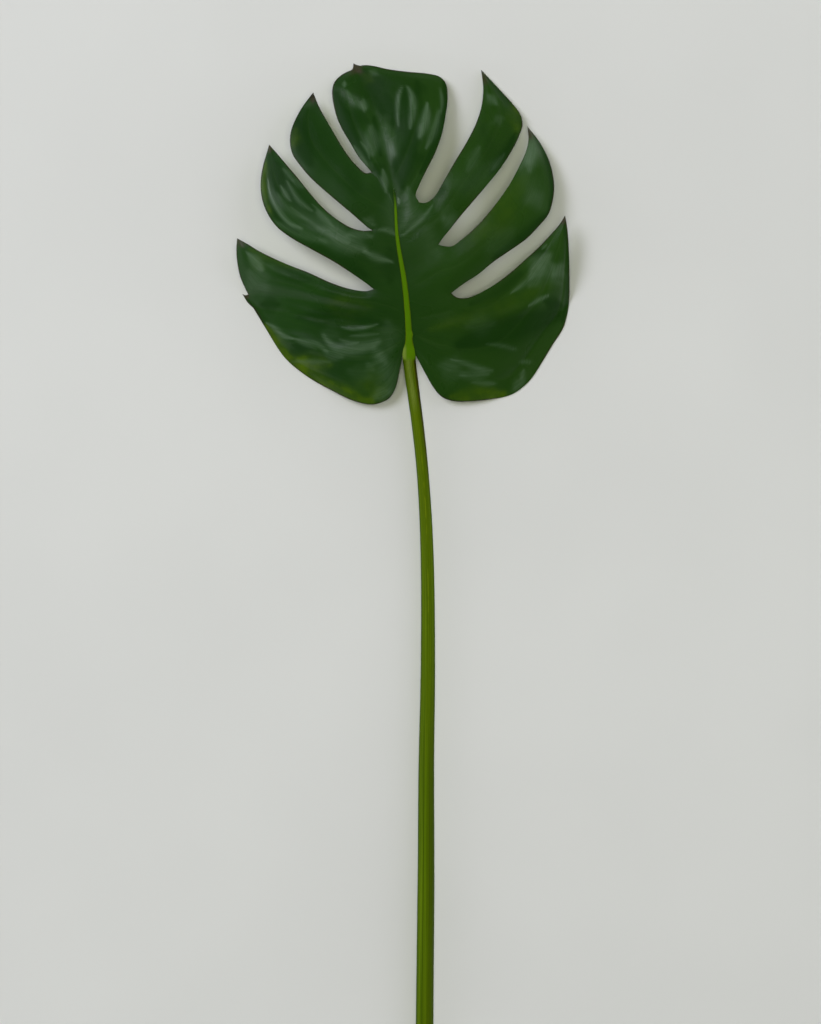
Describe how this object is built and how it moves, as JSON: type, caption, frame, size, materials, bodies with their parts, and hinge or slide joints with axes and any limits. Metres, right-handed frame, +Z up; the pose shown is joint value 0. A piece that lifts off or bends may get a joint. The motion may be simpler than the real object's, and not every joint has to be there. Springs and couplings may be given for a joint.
{
  "type": "monstera leaf",
  "caption": "Cut monstera leaf lying face up: a glossy dark green heart-shaped blade with deep cuts and long fingers, on a long olive-green stalk.",
  "frame": {"origin": "middle of the footprint, on the surface that the leaf lies on", "axes": "+Y from the cut end of the stalk towards the leaf's tip, +Z up out of the upper face, +X to the right seen from above"},
  "size_m": [0.2492, 0.747, 0.0328],
  "materials": {
    "blade": "waxy, softly glossy dark green, paler and more matt underneath",
    "stalk": "smooth olive green with fine lengthwise streaks"
  },
  "bodies": {
    "root": {"leaf_blade": "blade", "stalk_and_midrib": "stalk"}
  },
  "joints": []
}
